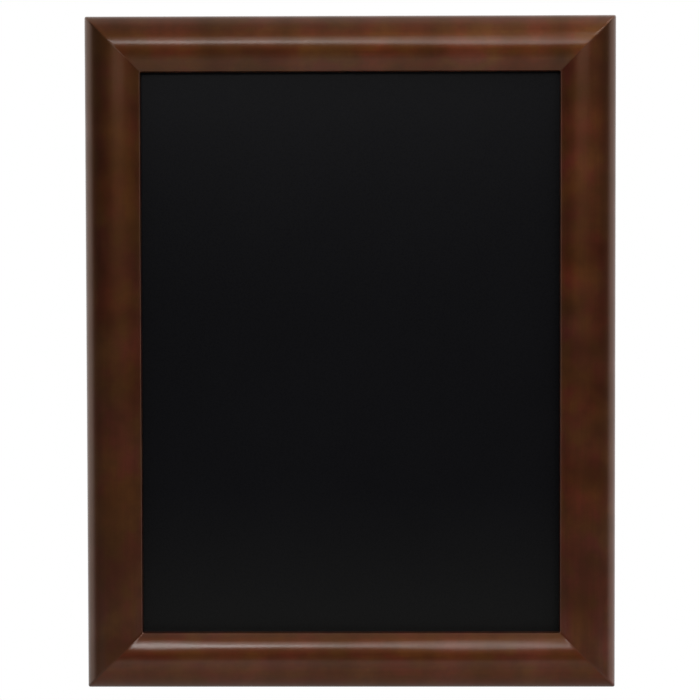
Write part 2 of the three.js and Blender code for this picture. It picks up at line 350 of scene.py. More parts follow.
def finishShader(tree, shader, look, colour, roughness, height):
    bump = addNode(tree, "ShaderNodeBump", {"Distance": look["bump"], "Height": height})
    feed(tree, shader, {"Base Color": colour, "Roughness": roughness, "Normal": bump.outputs["Normal"]})
    feed(tree, shader, look.get("shader", {}))


def newGroup(name, inputs, outputs):
    group = bpy.data.node_groups.new(name, "ShaderNodeTree")
    for label, kind, value in inputs:
        socket = group.interface.new_socket(name=label, in_out="INPUT", socket_type="NodeSocket" + kind)
        if value is not None:
            socket.default_value = value
    for label in outputs:
        group.interface.new_socket(name=label, in_out="OUTPUT", socket_type="NodeSocketFloat")
    return group, addNode(group, "NodeGroupInput").outputs, addNode(group, "NodeGroupOutput").inputs


def placeGroup(tree, group, values, links):
    return addNode(tree, "ShaderNodeGroup", {**values, **links}, node_tree=group).outputs


def spread(tree, source, low, high):
    # a noise lies mostly between 0.3 and 0.7
    return remap(tree, source, 0.3, 0.7, low, high)


def combine(tree, operation, first, second):
    return addNode(tree, "ShaderNodeMath", {0: first, 1: second}, operation=operation).outputs[0]


def attribute(tree, name, output="Fac"):
    node = addNode(tree, "ShaderNodeAttribute", attribute_type="GEOMETRY", attribute_name=name)
    return node.outputs[output]


def objectPlace(tree):
    return addNode(tree, "ShaderNodeTexCoord").outputs["Object"]


def noiseAt(tree, vector, scale, detail, roughness=0.5):
    values = {"Vector": vector, "Scale": scale, "Detail": detail, "Roughness": roughness}
    return addNode(tree, "ShaderNodeTexNoise", values).outputs


def cellsAt(tree, vector, scale):
    return addNode(tree, "ShaderNodeTexVoronoi", {"Vector": vector, "Scale": scale}, feature="F1").outputs


def combineVectors(tree, operation, first, second):
    values = {0: first, "Scale" if operation == "SCALE" else 1: second}
    return addNode(tree, "ShaderNodeVectorMath", values, operation=operation).outputs[0]


def makeGrainGroup():
    # wood figure: patches of tone, small blotches, fibres drawn out along the vector's X, and short pores
    group, given, out = newGroup(
        "grain",
        [("Vector", "Vector", None), ("Patch Scale", "Float", 9.0), ("Blotch Scale", "Float", 90.0),
         ("Fibre Scale", "Float", 600.0), ("Stretch", "Float", 0.05), ("Bend", "Float", 0.002)],
        ["Patch", "Blotch", "Fibre", "Pore"],
    )
    link = group.links.new
    vector = given["Vector"]
    halfDrawn = combineVectors(group, "MULTIPLY", vector, (0.7, 1.0, 1.0))
    bend = combineVectors(group, "SCALE", noiseAt(group, vector, 12.0, 2.0)["Color"], given["Bend"])
    drawn = addNode(group, "ShaderNodeCombineXYZ", {"X": given["Stretch"], "Y": 1.0, "Z": 1.0})
    along = combineVectors(group, "MULTIPLY", combineVectors(group, "ADD", vector, bend), drawn.outputs[0])
    link(noiseAt(group, halfDrawn, given["Patch Scale"], 3.0)["Fac"], out["Patch"])
    link(noiseAt(group, vector, given["Blotch Scale"], 3.0, 0.6)["Fac"], out["Blotch"])
    link(noiseAt(group, along, given["Fibre Scale"], 4.0, 0.6)["Fac"], out["Fibre"])
    pore = cellsAt(group, along, given["Fibre Scale"])
    link(remap(group, pore["Distance"], 0.22, 0.1), out["Pore"])
    return group


def makeWearGroup():
    # where an edge mask is high, the finish is rubbed off in small irregular patches
    group, given, out = newGroup(
        "edge_wear",
        [("Vector", "Vector", None), ("Edge", "Float", 0.0), ("Scale", "Float", 500.0),
         ("Amount", "Float", 0.5)],
        ["Worn"],
    )
    patch = noiseAt(group, given["Vector"], given["Scale"], 6.0, 0.7)
    reach = combine(group, "MULTIPLY", given["Edge"], given["Amount"])
    rubbed = combine(group, "ADD", patch["Fac"], reach)
    group.links.new(remap(group, rubbed, 0.98, 1.06), out["Worn"])
    return group


def makeDustGroup():
    # scattered specks, each of its own size, and a faint film in patches
    group, given, out = newGroup(
        "dust",
        [("Vector", "Vector", None), ("Speck Scale", "Float", 300.0), ("Speck Size", "Float", 0.1),
         ("Film Scale", "Float", 12.0)],
        ["Speck", "Film"],
    )
    link = group.links.new
    cells = cellsAt(group, given["Vector"], given["Speck Scale"])
    split = addNode(group, "ShaderNodeSeparateColor", {0: cells["Color"]})
    size = combine(group, "MULTIPLY", split.outputs[0], given["Speck Size"])
    inside = combine(group, "SUBTRACT", size, cells["Distance"])
    link(remap(group, inside, 0.0, 0.03), out["Speck"])
    link(noiseAt(group, given["Vector"], given["Film Scale"], 4.0, 0.6)["Fac"], out["Film"])
    return group


grainGroup = makeGrainGroup()
wearGroup = makeWearGroup()
dustGroup = makeDustGroup()

# in every finish, what is named after a noise holds two of its levels, and the mask's strength at each if
# that isn't 0 and 1; a bump is the height of the whole noise

# reddish brown stain under a clear gloss lacquer, on the front and the outer sides of the moulding
lacquer = {
    "redStain": (0.07, 0.0122, 0.0074, 1),
    "yellowStain": (0.063, 0.0212, 0.005, 1),
    "darkGrain": (0.026, 0.0065, 0.003, 1),
    "bareWoodAndPaintedGlint": (0.5, 0.34, 0.2, 1),
    "grain": {"Patch Scale": 66.0, "Blotch Scale": 110.0, "Fibre Scale": 520.0, "Stretch": 0.035},
    "wear": {"Scale": 420.0, "Amount": 0.55},
    "dust": {"Speck Scale": 160.0, "Speck Size": 0.05},
    "patches": (0.4, 0.6),
    "blotches": (0.6, 0.32, 0.0, 0.5),
    "fibres": (0.62, 0.36, 0.0, 0.24),
    "poreStrength": 0.25,
    "roughness": (0.36, 0.44),
    "bump": 0.015 * mm,
    "shader": {
        "Specular IOR Level": 0.85,
        "Specular Tint": (1.0, 0.38, 0.12, 1),
        "Coat Roughness": 0.16,
        "Coat IOR": 1.5,
    },
}


def makeLacquer(look):
    material, tree, shader = newMaterial("lacquered_stain")
    place = attribute(tree, "woodPlace", "Vector")
    grain = placeGroup(tree, grainGroup, look["grain"], {"Vector": place})
    wear = placeGroup(tree, wearGroup, look["wear"], {"Vector": place, "Edge": attribute(tree, "edgeWearAndPaintedGlint")})
    dust = placeGroup(tree, dustGroup, look["dust"], {"Vector": place})
    patches = remap(tree, grain["Patch"], *look["patches"])
    patched = mixColour(tree, patches, look["redStain"], look["yellowStain"])
    stain = mixColour(tree, remap(tree, grain["Blotch"], *look["blotches"]), patched, look["darkGrain"])
    grained = mixColour(tree, remap(tree, grain["Fibre"], *look["fibres"]), stain, look["darkGrain"])
    pore = combine(tree, "MULTIPLY", grain["Pore"], look["poreStrength"])
    pored = mixColour(tree, pore, grained, look["darkGrain"])
    # the tone attribute holds the stain's own tone together with painted light
    tonedAndPaintedLight = mixColour(tree, 1.0, pored, attribute(tree, "stainToneAndPaintedLight", "Color"), "MULTIPLY")
    # worn edges show pale bare wood, and at the chipped mitres the same pale colour is a painted glint
    worn = mixColour(tree, wear["Worn"], tonedAndPaintedLight, look["bareWoodAndPaintedGlint"])
    rough = combine(tree, "ADD", spread(tree, grain["Patch"], *look["roughness"]), dust["Speck"])
    feed(tree, shader, {"Coat Weight": attribute(tree, "lacquerBody")})
    finishShader(tree, shader, look, worn, rough, grain["Fibre"])
    return material


# thin matt stain on the back, in the rebate and inside the slots
backStain = {
    "light": (0.17, 0.085, 0.042, 1),
    "dark": (0.075, 0.032, 0.015, 1),
    "dusty": (0.25, 0.2, 0.16, 1),
    "grain": {"Patch Scale": 20.0, "Fibre Scale": 700.0, "Stretch": 0.03},
    "dust": {"Film Scale": 14.0},
    "fibres": (0.35, 0.65),
    "patchStrength": 0.5,
    "poreStrength": 0.7,
    "film": (0.5, 0.8, 0.0, 0.35),
    "roughness": (0.6, 0.8),
    "poreDepth": 0.5,
    "bump": 0.12 * mm,
    "shader": {"Specular IOR Level": 0.3},
}


def makeBackStain(look):
    material, tree, shader = newMaterial("thin_back_stain")
    place = attribute(tree, "woodPlace", "Vector")
    grain = placeGroup(tree, grainGroup, look["grain"], {"Vector": place})
    dust = placeGroup(tree, dustGroup, look["dust"], {"Vector": place})
    wood = mixColour(tree, remap(tree, grain["Fibre"], *look["fibres"]), look["dark"], look["light"])
    patches = spread(tree, grain["Patch"], 0.0, look["patchStrength"])
    pores = combine(tree, "MULTIPLY", grain["Pore"], look["poreStrength"])
    pored = mixColour(tree, pores, mixColour(tree, patches, wood, look["dark"]), look["dark"])
    dusty = mixColour(tree, remap(tree, dust["Film"], *look["film"]), pored, look["dusty"])
    sunk = combine(tree, "MULTIPLY", grain["Pore"], look["poreDepth"])
    height = combine(tree, "SUBTRACT", grain["Fibre"], sunk)
    finishShader(tree, shader, look, dusty, spread(tree, grain["Fibre"], *look["roughness"]), height)
    return material


# matt black writing coat, with specks and a film of dust, made lighter grey towards the bottom as a painted
# reflection of the pale floor
chalkCoat = {
    "black": (0.0067, 0.0067, 0.0082, 1),
    "grey": (0.0081, 0.0081, 0.0098, 1),
    "speck": (0.022, 0.022, 0.024, 1),
    "speckStrength": 0.2,
    # a lighter grey towards the bottom, a painted reflection of the pale floor
    "paintedLowReflection": (0.0135, 0.0135, 0.0135, 1),
    "paintedLowReflectionHeights": (-100 * mm, -195 * mm),
    "dust": {"Speck Scale": 420.0, "Speck Size": 0.2, "Film Scale": 7.0},
    "spray": {"scale": 900.0, "detail": 3.0, "roughness": 0.6},
    "film": (0.35, 0.7),
    "roughness": (0.25, 0.31),
    "bump": 0.025 * mm,
    "shader": {"Specular IOR Level": 0.1},
}


def makeChalkCoat(look):
    material, tree, shader = newMaterial("matt_black_writing_coat")
    place = objectPlace(tree)
    dust = placeGroup(tree, dustGroup, look["dust"], {"Vector": place})
    spray = noiseAt(tree, place, **look["spray"])["Fac"]
    film = mixColour(tree, remap(tree, dust["Film"], *look["film"]), look["black"], look["grey"])
    speck = combine(tree, "MULTIPLY", dust["Speck"], look["speckStrength"])
    specks = mixColour(tree, speck, film, look["speck"])
    # painted reflection: the coat turns lighter grey towards the bottom
    paintedLowReflection = remap(tree, splitPlace(tree, place)["Z"], *look["paintedLowReflectionHeights"])
    dusty = mixColour(tree, paintedLowReflection, specks, look["paintedLowReflection"])
    finishShader(tree, shader, look, dusty, spread(tree, spray, *look["roughness"]), spray)
    return material


# brown hardboard, its back printed with the weave of the press screen, with painted shade in the weave's
# hollows
hardboard = {
    "brown": (0.19, 0.105, 0.052, 1),
    "darkFibre": (0.085, 0.042, 0.02, 1),
    "screenPitch": 1.3 * mm,
    "screenWaver": 0.4,
    "screenShade": 0.45,
    "grain": {"Fibre Scale": 500.0, "Stretch": 0.6},
    "dust": {"Speck Scale": 300.0, "Speck Size": 0.3},
    "fibres": (0.35, 0.65),
    "speckStrength": 0.6,
    "roughness": (0.7, 0.9),
    "fibreHeight": 0.5,
    "bump": 0.15 * mm,
}


def makeHardboard(look):
    material, tree, shader = newMaterial("hardboard")
    place = objectPlace(tree)
    grain = placeGroup(tree, grainGroup, look["grain"], {"Vector": place})
    dust = placeGroup(tree, dustGroup, look["dust"], {"Vector": place})
    waves = []
    for axis in ("X", "Z"):
        # at scale 1 the wave repeats every pi / 10 metres
        scale = math.pi / 10 / look["screenPitch"]
        values = {"Vector": place, "Scale": scale, "Distortion": look["screenWaver"]}
        waves.append(addNode(tree, "ShaderNodeTexWave", values, bands_direction=axis).outputs["Fac"])
    screen = combine(tree, "MULTIPLY", *waves)
    base = mixColour(tree, remap(tree, grain["Fibre"], *look["fibres"]), look["darkFibre"], look["brown"])
    speck = combine(tree, "MULTIPLY", dust["Speck"], look["speckStrength"])
    specks = mixColour(tree, speck, base, look["darkFibre"])
    # painted shade: the weave's hollows are darkened
    shade = remap(tree, screen, 0.0, 1.0, look["screenShade"], 0.0)
    raised = combine(tree, "MULTIPLY", grain["Fibre"], look["fibreHeight"])
    height = combine(tree, "ADD", screen, raised)
    shadedInHollows = mixColour(tree, shade, specks, look["darkFibre"])
    finishShader(tree, shader, look, shadedInHollows, spread(tree, grain["Fibre"], *look["roughness"]), height)
    return material


# bright zinc plate on the hangers, V-nails and retaining points
zincPlate = {
    "light": (0.62, 0.63, 0.66, 1),
    "dull": (0.4, 0.41, 0.43, 1),
    "stain": (0.2, 0.16, 0.12, 1),
    "dust": {"Speck Scale": 900.0, "Speck Size": 0.35, "Film Scale": 160.0},
    "wear": {"Scale": 1400.0, "Amount": 0.4},
    "film": (0.35, 0.65),
    "speckStrength": 0.4,
    "wornStrength": 0.5,
    "roughness": (0.24, 0.42),
    "bump": 0.02 * mm,
    "shader": {"Metallic": 1.0},
}


def makeZincPlate(look):
    material, tree, shader = newMaterial("zinc_plate")
    place = objectPlace(tree)
    dust = placeGroup(tree, dustGroup, look["dust"], {"Vector": place})
    wear = placeGroup(tree, wearGroup, look["wear"], {"Vector": place, "Edge": dust["Film"]})
    plate = mixColour(tree, remap(tree, dust["Film"], *look["film"]), look["light"], look["dull"])
    speck = combine(tree, "MULTIPLY", dust["Speck"], look["speckStrength"])
    worn = combine(tree, "MULTIPLY", wear["Worn"], look["wornStrength"])
    rubbed = mixColour(tree, worn, mixColour(tree, speck, plate, look["stain"]), look["stain"])
    finishShader(tree, shader, look, rubbed, spread(tree, dust["Film"], *look["roughness"]), dust["Film"])
    return material


# soft black rubber
rubber = {
    "black": (0.014, 0.014, 0.014, 1),
    "bloom": (0.06, 0.058, 0.055, 1),
    "dust": {"Speck Scale": 700.0, "Speck Size": 0.25, "Film Scale": 120.0},
    "film": (0.45, 0.75),
    "speckStrength": 0.5,
    "roughness": (0.5, 0.75),
    "bump": 0.03 * mm,
}


def makeRubber(look):
    material, tree, shader = newMaterial("bumper_rubber")
    dust = placeGroup(tree, dustGroup, look["dust"], {"Vector": objectPlace(tree)})
    bloom = mixColour(tree, remap(tree, dust["Film"], *look["film"]), look["black"], look["bloom"])
    speck = combine(tree, "MULTIPLY", dust["Speck"], look["speckStrength"])
    specks = mixColour(tree, speck, bloom, look["bloom"])
    finishShader(tree, shader, look, specks, spread(tree, dust["Film"], *look["roughness"]), dust["Film"])
    return material


lacquerFinish = makeLacquer(lacquer)
backFinish = makeBackStain(backStain)
chalkFinish = makeChalkCoat(chalkCoat)
hardboardFinish = makeHardboard(hardboard)
zincFinish = makeZincPlate(zincPlate)
rubberFinish = makeRubber(rubber)
print("materials made")

# the four lengths of moulding
moulding = {
    "crestInset": 22.0 * mm,
    "outerSide": 8.0 * mm,
    "sightEdge": 15.0 * mm,
    "innerCurveEnd": math.radians(36),
    "lip": 7.0 * mm,
    "rebateWidth": 7.0 * mm,
    "arris": 0.8 * mm,
    "sightRounding": 1.4 * mm,
    "lipEasing": 0.35 * mm,
    "mitreRounding": 1.6 * mm,
    "jointDepth": 0.06 * mm,
    "jointWidth": 0.25 * mm,
    "wave": 0.12 * mm,
    "waveScale": (16, 45, 7),
    "outerSteps": 36,
    "innerSteps": 28,
    "arrisSteps": 6,
    "cornerSteps": 8,
    "easingSteps": 5,
    "sideSteps": 4,
    "lengthSteps": 110,
    "mitreStations": (0, 0.1, 0.22, 0.4, 0.65, 1, 1.5, 2.2, 3.2, 4.6, 6.5, 9, 12),
    "drivenGap": 0.1 * mm,
    "pilotGap": 0.15 * mm,
    "slotReach": 1 * mm,
}
# each length is made along the top and turned clockwise by quarter turns; seed moves its figure, mottle is
# the figure's strength, and hue the shares of red, green and blue; three tones or lacquers lie at its start,
# middle and end, going clockwise; the tones mix the stain's own tone with painted light, the rails lighter
# than the stiles because light from above falls across their fibres; outer tones are painted light and shade
# on the outer band, and the sight tone is painted light on the inner half; a hollow is (share of the length,
# mm in, depth, reach along, half width) in mm, and a chipped mitre is (-1 for the start or 1 for the end,
# from and to mm in), a pale patch that is partly worn wood and partly a painted glint
lengths = {
    "top_rail": {
        "turn": 0, "corners": ("top_left", "top_right"),
        "seed": 1.3, "mottle": 2.0, "hue": (1, 1, 0.82),
        "tonesWithPaintedLight": (0.84, 1.35, 1.52), "outerPaintedLight": (0.95, 0.95, 0.95), "sightPaintedLight": 1.0,
        "lacquer": (0.52, 0.7, 0.58), "outerLacquer": 0.85,
        "hollows": [(0.78, 18.7, 0.1, 60, 3.4)],
        "chipsAndPaintedGlints": [(1, 8, 17)],
    },
    "right_stile": {
        "turn": 1, "corners": ("top_right", "bottom_right"),
        "seed": 2.1, "mottle": 2.2, "hue": (1, 0.93, 1.2),
        "tonesWithPaintedLight": (0.9, 0.9, 0.98), "outerPaintedLight": (0.4, 0.75, 1.35), "sightPaintedLight": 1.25,
        "lacquer": (0.5, 0.7, 0.7), "outerLacquer": 1.0,
        "hollows": [],
        "chipsAndPaintedGlints": [],
    },
    "bottom_rail": {
        "turn": 2, "corners": ("bottom_left", "bottom_right"),
        "seed": 3.7, "mottle": 1.1, "hue": (1.03, 0.9, 0.85),
        "tonesWithPaintedLight": (1.28, 1.25, 1.28), "outerPaintedLight": (0.95, 0.95, 0.95), "sightPaintedLight": 1.0,
        "lacquer": (0.65, 0.8, 1.0), "outerLacquer": 0.5,
        "hollows": [(0.25, 31.2, 0.32, 45, 4.0), (0.865, 31.4, 0.2, 20, 3.0)],
        "chipsAndPaintedGlints": [(-1, 31, 37), (1, 28, 40)],
    },
    "left_stile": {
        "turn": 3, "corners": ("top_left", "bottom_left"),
        "seed": 4.9, "mottle": 1.4, "hue": (0.96, 1.02, 1.25),
        "tonesWithPaintedLight": (0.74, 0.76, 0.46), "outerPaintedLight": (0.6, 0.6, 0.6), "sightPaintedLight": 1.3,
        "lacquer": (0.7, 0.7, 0.45), "outerLacquer": 1.0,
        "hollows": [],
        "chipsAndPaintedGlints": [],
    },
}
# mm in from the outer side, with the share of the tone there, and where the bands at both edges blend; the
# tone is darker towards the sight edge, the outer band's tone is painted shade and light on the flank that
# turns sideways, and the sight band's tone is painted light on the inner half
toneAcross = [(14, 1.2), (31, 1.2), (36, 1.05), (40, 0.9)]
edgeBands = {"outer": 8, "outerEdgeShade": 0.75, "sight": (24, 33), "lacquer": (12, 20)}
# strengths and scales of the uneven stain, and how a warm patch shifts red, green and blue
mottling = {
    "band": 0.36, "broad": 0.08, "warm": 0.22, "lacquer": 0.2,
    "bandScale": (48, 20), "broadScale": (9, 12), "warmScale": (26, 30),
    "leastTone": 0.3, "warmShift": (0.5, -0.5, -2),
}
# how much of the finish is rubbed off along an edge, and how far in; a chip is partly worn wood and partly a
# painted glint on the lacquer at the mitre
rubbing = {"sight": (0.35, 1.0 * mm), "mitre": (0.3, 0.8 * mm), "chipAndPaintedGlint": (0.8, 1.0 * mm)}


def mouldingSection(shape):
    # (distance in from the outer side, height in front of the back, share of the front's softening)
    width, depth = board["railWidth"], board["depth"]
    crest, side, edge = shape["crestInset"], shape["outerSide"], shape["sightEdge"]
    arris, ease, rounding = shape["arris"], shape["lipEasing"], shape["sightRounding"]
    shoulder, land, steps = edge - shape["lip"], width - shape["rebateWidth"], shape["sideSteps"]
    points = [(arris, 0)]
    points += arc(arris, arris, arris, arris, 3 * quarter, 2 * quarter, shape["arrisSteps"])[1:]
    points += [(0, arris + (side - arris) * i / steps) for i in range(1, steps)]
    points += arc(crest, side, crest, depth - side, 2 * quarter, quarter, shape["outerSteps"])
    # the inner curve stops short of upright, and its corner with the sight edge is rounded over
    end = shape["innerCurveEnd"]
    run, rise = (width - crest) / math.cos(end), (depth - edge) / (1 - math.sin(end))
    lean = math.atan2(run * math.sin(end), rise * math.cos(end))
    top = edge - rounding * math.tan(lean / 2)
    corner = arc(width - rounding, top, rounding, rounding, lean, 0, shape["cornerSteps"])
    inner = arc(crest, depth - rise, run, rise, quarter, end, shape["innerSteps"])[1:]
    points += [point for point in inner if point[0] < corner[0][0]] + corner
    points += [(width, top + (shoulder + ease - top) * i / steps) for i in range(1, steps)]
    points += arc(width - ease, shoulder + ease, ease, ease, 0, -quarter, shape["easingSteps"])
    points += [(land, shoulder), (land, 0)]
    section = []
    for u, h in points:
        soft = (h - shoulder) / (top - shoulder) if u > width - rounding else (h - arris) / (side - arris)
        section.append((u, h, 0 if h <= shoulder and u > arris else min(1, max(0, soft))))
    return section


def railStations(near, steps):
    # places along a length: distances from its mitres, and between those shares of what is left
    middle = [("middle", i / steps) for i in range(1, steps)]
    return [("start", s) for s in near] + middle + [("end", s) for s in reversed(near)]


def hollowed(plan, length, x, u):
    # how deep the sanded hollows are at a place along and across
    depth = 0
    for share, across, deep, reach, halfWidth in plan["hollows"]:
        away = (x - (share - 0.5) * length) / (reach * mm)
        aside = (u - across * mm) / (halfWidth * mm)
        depth += deep * mm * math.exp(-(away ** 2 + aside ** 2) / 2)
    return depth


def railMesh(name, length, plan):
    section = mouldingSection(moulding)
    near = [s * mm for s in moulding["mitreStations"]]
    stations, nearEnd = railStations(near, moulding["lengthSteps"]), near[-1]
    rounding, joint, half = moulding["mitreRounding"], moulding["jointDepth"], length / 2
    alongScale, acrossScale, seedScale = moulding["waveScale"]
    shape = bmesh.new()
    rings = []
    for kind, s in stations:
        ring = []
        for u, h, soft in section:
            reach = half - u
            x = {"start": s - reach, "end": reach - s, "middle": (reach - nearEnd) * (2 * s - 1)}[kind]
            gap = reach - abs(x)
            inset = soft * rounding / 4 * max(0, 1 - gap / rounding) ** 2
            calm = min(1, gap / nearEnd)
            spot = Vector((x * alongScale, u * acrossScale, plan["seed"] * seedScale))
            wave = 0.5 + 0.5 * noise.noise(spot) * calm
            drop = joint * max(0, 1 - gap / moulding["jointWidth"]) + moulding["wave"] * wave
            drop += hollowed(plan, length, x, u)
            ring.append(shape.verts.new((x - math.copysign(inset, x), soft * drop - h, -(u + inset))))
        rings.append(ring)
    count = len(section)
    for a, b in zip(rings, rings[1:]):
        for k in range(count):
            j = (k + 1) % count
            face = shape.faces.new((a[k], b[k], b[j], a[j]))
            face.material_index = 1 if k >= count - 3 else 0  # the shoulder, the rebate wall and the back
    shape.faces.new(list(reversed(rings[-1])))
    shape.faces.new(rings[0])
    return meshOf(shape, name)


def slotCutter(name, gap, openTo=None):
    # a CAD piece grown by its gap, and drawn out past the face that it was driven through
    shape = bmesh.new()
    shape.from_mesh(nodes[name].data)
    bmesh.ops.remove_doubles(shape, verts=shape.verts, dist=1e-6)
    bmesh.ops.dissolve_limit(shape, angle_limit=math.radians(0.5), verts=shape.verts, edges=shape.edges)
    shape.normal_update()
    moves = {}
    for vertex in shape.verts:
        sides = []  # the normals of its flat sides, which differ by more than 8 degrees
        for face in vertex.link_faces:
            if all(face.normal.dot(side) < 0.99 for side in sides):
                sides.append(face.normal.copy())
        moves[vertex] = gap * sum(sides, Vector())
    for vertex, move in moves.items():
        vertex.co += move
        if openTo is not None and vertex.co.y > openTo - moulding["slotReach"]:
            vertex.co.y = openTo + moulding["slotReach"]
    for face in shape.faces:
        face.material_index = 1
    mesh = meshOf(shape, name + "_slot")
    mesh.materials.append(lacquerFinish)
    mesh.materials.append(backFinish)
    return looseObject(name + "_slot", mesh)


def between(stops, value):
    # straight lines through (place, level) pairs
    for (low, first), (high, second) in zip(stops, stops[1:]):
        if value <= high:
            return first + (second - first) * max(0, value - low) / (high - low)
    return stops[-1][1]


def mottleAt(scale, x, u, shift, layer):
    return noise.noise(Vector((x * scale[0] + shift, u * scale[1], layer)))


def rubbedOff(edge, gap):
    strength, reach = rubbing[edge]
    return strength * max(0, 1 - gap / reach)


def stainMoulding(mesh, half, plan):
    # what the wood's finishes read: the place in the tree, the stain's tone with painted light and shade, the
    # lacquer, and the worn edges, with painted glints at the chipped mitres
    places, tonesWithPaintedLight, bodies, wearsAndPaintedGlints = [], [], [], []
    seed = plan["seed"]  # its multiples only move a noise to another place
    along = {key: list(zip((-half, 0, half), plan[key])) for key in ("tonesWithPaintedLight", "outerPaintedLight", "lacquer")}
    sightPaintedLights = list(zip(edgeBands["sight"], (1, plan["sightPaintedLight"])))
    lacquerShares = list(zip(edgeBands["lacquer"], (plan["outerLacquer"], 1)))
    for vertex in mesh.vertices:
        x, u = vertex.co.x, -vertex.co.z
        gap = half - u - abs(x)
        places.extend(vertex.co + Vector((seed, seed * 0.37, seed * 0.73)))
        band = mottleAt(mottling["bandScale"], x, u, seed * 11, seed)
        broad = mottleAt(mottling["broadScale"], x, u, -seed * 5, seed * 3)
        warm = mottling["warm"] * mottleAt(mottling["warmScale"], x, u, seed, seed * 2)
        # painted light and shade across the moulding: the outer band and the sight band take their own tones
        outer = between(along["outerPaintedLight"], x)
        across = [(0, edgeBands["outerEdgeShade"] * outer), (edgeBands["outer"], outer)] + toneAcross
        # along each length the tone is the stain's own tone together with painted light
        level = between(along["tonesWithPaintedLight"], x) * between(across, u / mm) * between(sightPaintedLights, u / mm)
        mottled = 1 + plan["mottle"] * (mottling["band"] * band + mottling["broad"] * broad)
        level *= max(mottling["leastTone"], mottled)
        tonesWithPaintedLight += [level * hue * (1 + shift * warm) for hue, shift in zip(plan["hue"], mottling["warmShift"])]
        tonesWithPaintedLight.append(1)
        body = between(along["lacquer"], x) * (1 + mottling["lacquer"] * band)
        bodies.append(min(1, body * between(lacquerShares, u / mm)))
        worn = rubbedOff("mitre", gap)
        # chipped mitres: pale bare wood that also paints the lacquer's glint there
        for end, low, high in plan["chipsAndPaintedGlints"]:
            if x * end > 0 and low * mm < u < high * mm:
                worn = rubbedOff("chipAndPaintedGlint", gap)
        wearsAndPaintedGlints.append(max(rubbedOff("sight", abs(u - board["railWidth"])), worn))
    mesh.attributes.new("woodPlace", "FLOAT_VECTOR", "POINT").data.foreach_set("vector", places)
    mesh.attributes.new("stainToneAndPaintedLight", "FLOAT_COLOR", "POINT").data.foreach_set("color", tonesWithPaintedLight)
    mesh.attributes.new("lacquerBody", "FLOAT", "POINT").data.foreach_set("value", bodies)
    mesh.attributes.new("edgeWearAndPaintedGlint", "FLOAT", "POINT").data.foreach_set("value", wearsAndPaintedGlints)


def makeLength(name, plan):
    upright = plan["turn"] % 2 == 1
    length, reach = board["width"], board["height"] / 2
    if upright:
        length, reach = board["height"], board["width"] / 2
    mesh = railMesh(name + "_moulding", length, plan)
    mesh.materials.append(lacquerFinish)
    mesh.materials.append(backFinish)
    turn = Matrix.Rotation(plan["turn"] * quarter, 4, "Y")
    piece = looseObject(name + "_moulding", mesh, turn @ Matrix.Translation((0, board["backY"], reach)))
    for corner in plan["corners"]:
        for which in ("outer", "inner"):
            cut(piece, slotCutter(f"v_nail_{corner}_{which}", moulding["drivenGap"], board["backY"]))
    for point in sorted(key for key in nodes if key.startswith(f"retaining_point_{name}_")):
        cut(piece, slotCutter(point, moulding["drivenGap"]))
    if upright:
        cut(piece, slotCutter(name.split("_")[0] + "_hanger_screw", moulding["pilotGap"]))
    stainMoulding(piece.data, length / 2, plan)
    finishPiece(piece, [lacquerFinish, backFinish], "frame", name, degrees=32)


for lengthName, lengthPlan in lengths.items():
    makeLength(lengthName, lengthPlan)
print("moulding made")

# the writing panel
panel = {"columns": 52, "rows": 70, "unevenness": 0.04 * mm, "unevenScale": 9, "edge": 0.35 * mm}


def gridLines(low, high, edge, steps):
    inner = [low + edge + (high - low - 2 * edge) * i / steps for i in range(steps + 1)]
    return [low] + inner + [high]


def makePanel(sheet):
    low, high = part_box("writing_panel")
    edge, scale = sheet["edge"], sheet["unevenScale"]
    xs, zs = gridLines(low.x, high.x, edge, sheet["columns"]), gridLines(low.z, high.z, edge, sheet["rows"])
    shape = bmesh.new()
    rims = []
    for finish, (y, inward) in enumerate(((low.y, 1), (high.y, -1))):
        grid = []
        for x in xs:
            column = []
            for z in zs:
                wave = 0.5 + 0.5 * noise.noise(Vector((x * scale, finish, z * scale)))
                depth = sheet["unevenness"] * wave
                if x in (xs[0], xs[-1]) or z in (zs[0], zs[-1]):
                    depth = edge
                column.append(shape.verts.new((x, y + inward * depth, z)))
            grid.append(column)
        for a, b in zip(grid, grid[1:]):
            for k in range(len(zs) - 1):
                shape.faces.new((a[k], b[k], b[k + 1], a[k + 1])).material_index = finish
        rim = [column[0] for column in grid] + grid[-1][1:]
        rims.append(rim + [column[-1] for column in grid[-2::-1]] + grid[0][-2:0:-1])
    front, back = rims
    for k in range(len(front)):
        j = (k + 1) % len(front)
        shape.faces.new((front[k], front[j], back[j], back[k])).material_index = 1
    piece = looseObject("writing_sheet", meshOf(shape, "writing_sheet"))
    finishPiece(piece, [chalkFinish, hardboardFinish], "frame", "writing_panel")


makePanel(panel)
print("panel made")

